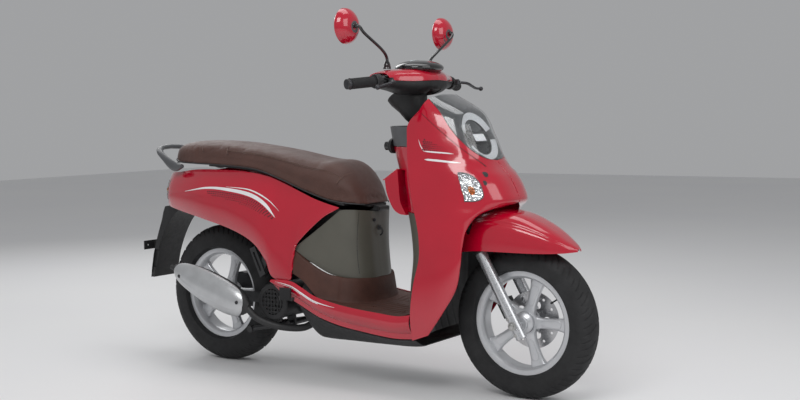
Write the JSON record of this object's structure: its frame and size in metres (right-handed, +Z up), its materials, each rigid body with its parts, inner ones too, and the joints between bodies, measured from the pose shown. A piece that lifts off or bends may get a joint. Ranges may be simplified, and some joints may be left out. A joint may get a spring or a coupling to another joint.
{
  "type": "motor scooter",
  "caption": "Step-through motor scooter with a red body, brown seat and floor, rounded front with a large oval headlamp, cast wheels and a swinging engine unit.",
  "frame": {"origin": "on the ground, midway along the length and on the centre plane", "axes": "+X forward, +Y to the rider's left, +Z up"},
  "size_m": [1.864, 0.683, 1.239],
  "materials": {
    "frame_paint": "satin",
    "red_gloss": "gloss",
    "bronze_satin": "satin",
    "black_plastic": "matte",
    "black_gloss": "gloss",
    "grey_trim": "satin",
    "led_white": "gloss",
    "clear_lens": "gloss",
    "red_lens": "gloss",
    "brown_rubber": "matte",
    "seat_vinyl": "satin",
    "tank_steel": "satin",
    "grip_rubber": "matte",
    "mirror_red": "gloss",
    "silver_cast": "satin",
    "tyre_rubber": "matte",
    "disc_steel": "brushed",
    "engine_black": "satin",
    "muffler_black": "satin",
    "shield_silver": "satin",
    "spring_red": "gloss",
    "shock_grey": "satin"
  },
  "bodies": {
    "chassis": {"frame": "frame_paint", "front_apron": "red_gloss", "headlight_housing": "grey_trim", "headlight_leds": "led_white", "headlight_lens": "clear_lens", "front_indicators": "clear_lens", "leg_shield": "bronze_satin", "inner_fender": "black_plastic", "floor_mat": "brown_rubber", "side_rail_right": "red_gloss", "side_rail_left": "red_gloss", "belly_cover": "black_plastic", "centre_cover": "bronze_satin", "side_panel_right": "red_gloss", "side_panel_left": "red_gloss", "luggage_box": "black_plastic", "fuel_tank": "tank_steel", "grab_rail": "grey_trim", "tail_light": "red_lens", "rear_mudguard": "black_plastic"},
    "seat": {"seat_pan": "black_plastic", "seat_cushion": "seat_vinyl"},
    "fuel_cap": {"fuel_cap": "black_plastic"},
    "ignition_knob": {"ignition_knob": "black_plastic"},
    "pillion_step_right": {"pillion_step_right": "black_plastic"},
    "pillion_step_left": {"pillion_step_left": "black_plastic"},
    "steering": {"steering_stem": "frame_paint", "front_fender": "red_gloss", "handlebar": "frame_paint", "handlebar_cover_front": "red_gloss", "handlebar_cover_rear": "black_plastic", "instrument_cluster": "black_gloss", "left_grip": "grip_rubber"},
    "throttle": {"right_grip": "grip_rubber"},
    "brake_lever_left": {"brake_lever_left": "frame_paint"},
    "brake_lever_right": {"brake_lever_right": "frame_paint"},
    "starter_button": {"starter_button": "black_plastic"},
    "horn_button": {"horn_button": "black_plastic"},
    "indicator_switch": {"indicator_switch": "black_plastic"},
    "mirror_stem_right": {"mirror_stem_right": "frame_paint"},
    "mirror_stem_left": {"mirror_stem_left": "frame_paint"},
    "mirror_head_right": {"mirror_head_right": "mirror_red"},
    "mirror_head_left": {"mirror_head_left": "mirror_red"},
    "fork_lower": {"fork_sliders": "silver_cast", "brake_caliper": "engine_black", "brake_hose": "grip_rubber"},
    "front_wheel": {"front_rim": "silver_cast", "front_tyre": "tyre_rubber", "brake_disc": "disc_steel"},
    "engine_unit": {"engine": "engine_black", "fan_cover": "black_plastic", "muffler": "muffler_black", "muffler_shield": "shield_silver"},
    "rear_wheel": {"rear_rim": "silver_cast", "rear_tyre": "tyre_rubber"},
    "shock_upper": {"shock_upper": "shock_grey", "shock_spring": "spring_red"},
    "shock_lower": {"shock_lower": "shock_grey"},
    "centre_stand": {"centre_stand": "frame_paint"},
    "side_stand": {"side_stand": "frame_paint"}
  },
  "joints": [
    {"name": "seat_hinge", "type": "hinge", "parent": "chassis", "child": "seat", "pos_m": [0.14, 0, 0.586], "axis": [0, 1, 0], "range_deg": [0, 55]},
    {"name": "fuel_cap_turn", "type": "hinge", "parent": "chassis", "child": "fuel_cap", "pos_m": [-0.47, 0, 0.677], "axis": [0, 0, 1], "range_deg": [0, 120]},
    {"name": "ignition_turn", "type": "hinge", "parent": "chassis", "child": "ignition_knob", "pos_m": [0.226, -0.07, 0.8], "axis": [-1, 0, 0], "range_deg": [0, 90]},
    {"name": "pillion_step_right_fold", "type": "hinge", "parent": "chassis", "child": "pillion_step_right", "pos_m": [-0.118, -0.21, 0.284], "axis": [1, 0, 0], "range_deg": [0, 80]},
    {"name": "pillion_step_left_fold", "type": "hinge", "parent": "chassis", "child": "pillion_step_left", "pos_m": [-0.118, 0.21, 0.284], "axis": [-1, 0, 0], "range_deg": [0, 80]},
    {"name": "steer", "type": "hinge", "parent": "chassis", "child": "steering", "pos_m": [0.47816, 0, 0.55784], "axis": [-0.4848, 0, 0.8746], "range_deg": [-34, 34]},
    {"name": "throttle_twist", "type": "hinge", "parent": "steering", "child": "throttle", "pos_m": [0.25955, -0.27551, 1.00375], "axis": [-0.3037, -0.9489, -0.0854], "range_deg": [0, 75], "stiffness_Nm_per_rad": 0.4},
    {"name": "brake_lever_left_pull", "type": "hinge", "parent": "steering", "child": "brake_lever_left", "pos_m": [0.32228, 0.203, 1.00927], "axis": [0, 0, 1], "range_deg": [0, 12], "stiffness_Nm_per_rad": 6},
    {"name": "brake_lever_right_pull", "type": "hinge", "parent": "steering", "child": "brake_lever_right", "pos_m": [0.32228, -0.203, 1.00927], "axis": [0, 0, -1], "range_deg": [0, 12], "stiffness_Nm_per_rad": 6},
    {"name": "starter_press", "type": "slide", "parent": "steering", "child": "starter_button", "axis": [1, 0, 0], "range_m": [0, 0.002], "stiffness_N_per_m": 400},
    {"name": "horn_press", "type": "slide", "parent": "steering", "child": "horn_button", "axis": [1, 0, 0], "range_m": [0, 0.002], "stiffness_N_per_m": 400},
    {"name": "indicator_slide", "type": "slide", "parent": "steering", "child": "indicator_switch", "axis": [0, 1, 0], "range_m": [-0.0035, 0.0035], "stiffness_N_per_m": 200},
    {"name": "mirror_stem_left_swivel", "type": "hinge", "parent": "steering", "child": "mirror_stem_left", "pos_m": [0.256, 0.128, 1.046], "axis": [0, 0, 1], "range_deg": [-30, 30]},
    {"name": "mirror_head_left_tilt", "type": "hinge", "parent": "mirror_stem_left", "child": "mirror_head_left", "pos_m": [0.241, 0.2845, 1.182], "axis": [0, 1, 0], "range_deg": [-12, 12]},
    {"name": "mirror_stem_right_swivel", "type": "hinge", "parent": "steering", "child": "mirror_stem_right", "pos_m": [0.256, -0.128, 1.046], "axis": [0, 0, 1], "range_deg": [-30, 30]},
    {"name": "mirror_head_right_tilt", "type": "hinge", "parent": "mirror_stem_right", "child": "mirror_head_right", "pos_m": [0.241, -0.2845, 1.182], "axis": [0, 1, 0], "range_deg": [-12, 12]},
    {"name": "fork_compression", "type": "slide", "parent": "steering", "child": "fork_lower", "axis": [-0.4848, 0, 0.8746], "range_m": [0, 0.07], "stiffness_N_per_m": 6000},
    {"name": "front_wheel_spin", "type": "hinge", "parent": "fork_lower", "child": "front_wheel", "pos_m": [0.6896, 0, 0.2424], "axis": [0, 1, 0], "continuous": true},
    {"name": "engine_swing", "type": "hinge", "parent": "chassis", "child": "engine_unit", "pos_m": [-0.12, 0, 0.296], "axis": [0, 1, 0], "range_deg": [0, 10], "stiffness_Nm_per_rad": 2500},
    {"name": "rear_wheel_spin", "type": "hinge", "parent": "engine_unit", "child": "rear_wheel", "pos_m": [-0.5614, 0, 0.2514], "axis": [0, 1, 0], "continuous": true},
    {"name": "shock_pivot", "type": "hinge", "parent": "chassis", "child": "shock_upper", "pos_m": [-0.43, 0.096, 0.59], "axis": [0, 1, 0], "range_deg": [-0.2, 1.33]},
    {"name": "shock_compression", "type": "slide", "parent": "shock_upper", "child": "shock_lower", "axis": [0.2747, 0, 0.9615], "range_m": [0, 0.06681], "deforming": ["shock_spring"]},
    {"name": "centre_stand_swing", "type": "hinge", "parent": "engine_unit", "child": "centre_stand", "pos_m": [-0.212, 0, 0.172], "axis": [0, -1, 0], "range_deg": [0, 98]},
    {"name": "side_stand_swing", "type": "hinge", "parent": "engine_unit", "child": "side_stand", "pos_m": [-0.2, 0.152, 0.206], "axis": [0.024, -0.8981, -0.4391], "range_deg": [0, 80]}
  ],
  "couplings": [
    {"joint": "shock_pivot", "follows": "engine_swing", "ratio": 0.12761},
    {"joint": "shock_compression", "follows": "engine_swing", "m_per_rad": 0.38164}
  ]
}
